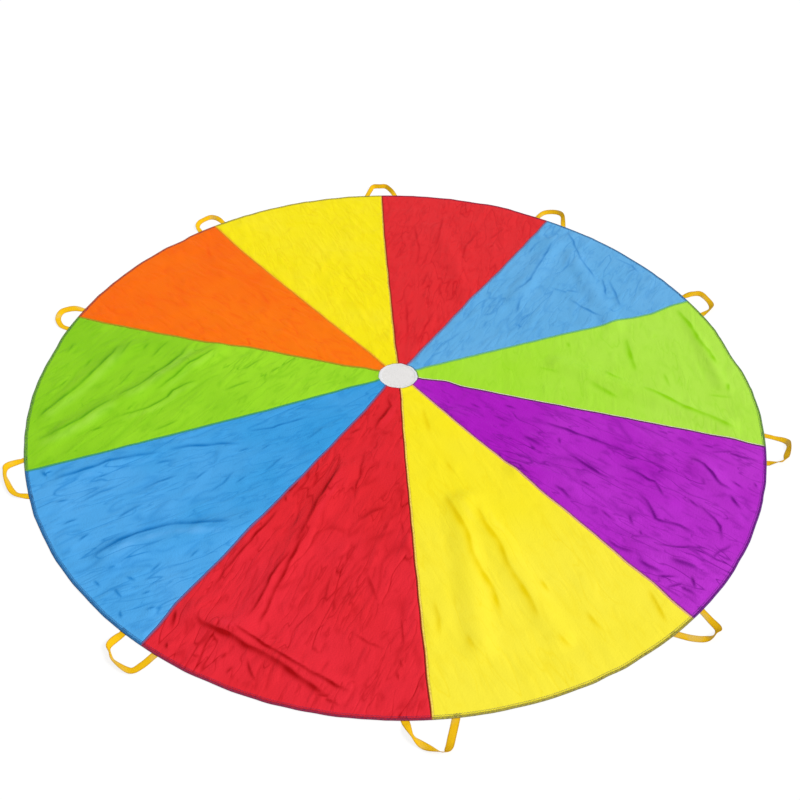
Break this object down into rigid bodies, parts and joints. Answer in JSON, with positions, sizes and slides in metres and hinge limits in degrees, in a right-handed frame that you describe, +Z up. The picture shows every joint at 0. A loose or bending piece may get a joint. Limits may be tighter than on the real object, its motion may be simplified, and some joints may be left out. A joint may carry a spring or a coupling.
{
  "type": "play parachute",
  "caption": "Round play parachute laid flat: coloured cloth gores sewn round a mesh vent, with webbing hand loops that fold at its overlocked hem.",
  "frame": {"origin": "on the ground, under the middle of the vent", "axes": "+Z up, -Y towards the side that the picture was taken from, +X to its right"},
  "size_m": [3.1686, 3.236, 0.0249],
  "materials": {
    "cloth_red": "thin smooth taffeta cloth with a soft sheen and fine crinkles",
    "cloth_light_blue": "thin smooth taffeta cloth with a soft sheen and fine crinkles",
    "cloth_green": "thin smooth taffeta cloth with a soft sheen and fine crinkles",
    "cloth_purple": "thin smooth taffeta cloth with a soft sheen and fine crinkles",
    "cloth_yellow": "thin smooth taffeta cloth with a soft sheen and fine crinkles",
    "cloth_blue": "thin smooth taffeta cloth with a soft sheen and fine crinkles",
    "cloth_orange": "thin smooth taffeta cloth with a soft sheen and fine crinkles",
    "seam_thread": "overlocked thread over folded cloth",
    "hem_thread": "overlocked thread round the cloth's edge",
    "webbing": "woven flat webbing, matt with a slight sheen",
    "vent_net": "knitted mesh, matt",
    "vent_binding": "narrow woven tape, matt"
  },
  "bodies": {
    "canopy": {"gore_01_red": "cloth_red", "seam_01": "seam_thread", "handle_01_end_a": "webbing", "handle_01_end_b": "webbing", "gore_02_light_blue": "cloth_light_blue", "seam_02": "seam_thread", "handle_02_end_a": "webbing", "handle_02_end_b": "webbing", "gore_03_green": "cloth_green", "seam_03": "seam_thread", "handle_03_end_a": "webbing", "handle_03_end_b": "webbing", "gore_04_purple": "cloth_purple", "seam_04": "seam_thread", "handle_04_end_a": "webbing", "handle_04_end_b": "webbing", "gore_05_yellow": "cloth_yellow", "seam_05": "seam_thread", "handle_05_end_a": "webbing", "handle_05_end_b": "webbing", "gore_06_red": "cloth_red", "seam_06": "seam_thread", "handle_06_end_a": "webbing", "handle_06_end_b": "webbing", "gore_07_blue": "cloth_blue", "seam_07": "seam_thread", "handle_07_end_a": "webbing", "handle_07_end_b": "webbing", "gore_08_green": "cloth_green", "seam_08": "seam_thread", "handle_08_end_a": "webbing", "handle_08_end_b": "webbing", "gore_09_orange": "cloth_orange", "seam_09": "seam_thread", "handle_09_end_a": "webbing", "handle_09_end_b": "webbing", "gore_10_yellow": "cloth_yellow", "seam_10": "seam_thread", "handle_10_end_a": "webbing", "handle_10_end_b": "webbing", "hem": "hem_thread", "vent_binding": "vent_binding", "vent_net": "vent_net"},
    "handle_01": {"handle_01_loop": "webbing"},
    "handle_02": {"handle_02_loop": "webbing"},
    "handle_03": {"handle_03_loop": "webbing"},
    "handle_04": {"handle_04_loop": "webbing"},
    "handle_05": {"handle_05_loop": "webbing"},
    "handle_06": {"handle_06_loop": "webbing"},
    "handle_07": {"handle_07_loop": "webbing"},
    "handle_08": {"handle_08_loop": "webbing"},
    "handle_09": {"handle_09_loop": "webbing"},
    "handle_10": {"handle_10_loop": "webbing"}
  },
  "joints": [
    {"name": "handle_01_hinge", "type": "hinge", "parent": "canopy", "child": "handle_01", "pos_m": [-0.13498, 1.52002, 0.003], "axis": [0.9961, 0.0885, 0], "range_deg": [0, 140]},
    {"name": "handle_02_hinge", "type": "hinge", "parent": "canopy", "child": "handle_02", "pos_m": [0.80134, 1.29866, 0.003], "axis": [0.851, -0.5251, 0], "range_deg": [0, 140]},
    {"name": "handle_03_hinge", "type": "hinge", "parent": "canopy", "child": "handle_03", "pos_m": [1.41202, 0.57869, 0.003], "axis": [0.3792, -0.9253, 0], "range_deg": [0, 140]},
    {"name": "handle_04_hinge", "type": "hinge", "parent": "canopy", "child": "handle_04", "pos_m": [1.48202, -0.36373, 0.003], "axis": [-0.2384, -0.9712, 0], "range_deg": [0, 140]},
    {"name": "handle_05_hinge", "type": "hinge", "parent": "canopy", "child": "handle_05", "pos_m": [0.989, -1.16214, 0.003], "axis": [-0.7616, -0.6481, 0], "range_deg": [0, 140]},
    {"name": "handle_06_hinge", "type": "hinge", "parent": "canopy", "child": "handle_06", "pos_m": [0.13398, -1.52011, 0.003], "axis": [-0.9961, -0.0878, 0], "range_deg": [0, 140]},
    {"name": "handle_07_hinge", "type": "hinge", "parent": "canopy", "child": "handle_07", "pos_m": [-0.7911, -1.30493, 0.003], "axis": [-0.8551, 0.5184, 0], "range_deg": [0, 140]},
    {"name": "handle_08_hinge", "type": "hinge", "parent": "canopy", "child": "handle_08", "pos_m": [-1.38524, -0.64015, 0.003], "axis": [-0.4195, 0.9078, 0], "range_deg": [0, 140]},
    {"name": "handle_09_hinge", "type": "hinge", "parent": "canopy", "child": "handle_09", "pos_m": [-1.49294, 0.31593, 0.003], "axis": [0.207, 0.9783, 0], "range_deg": [0, 140]},
    {"name": "handle_10_hinge", "type": "hinge", "parent": "canopy", "child": "handle_10", "pos_m": [-1.02211, 1.13312, 0.003], "axis": [0.7425, 0.6698, 0], "range_deg": [0, 140]}
  ]
}
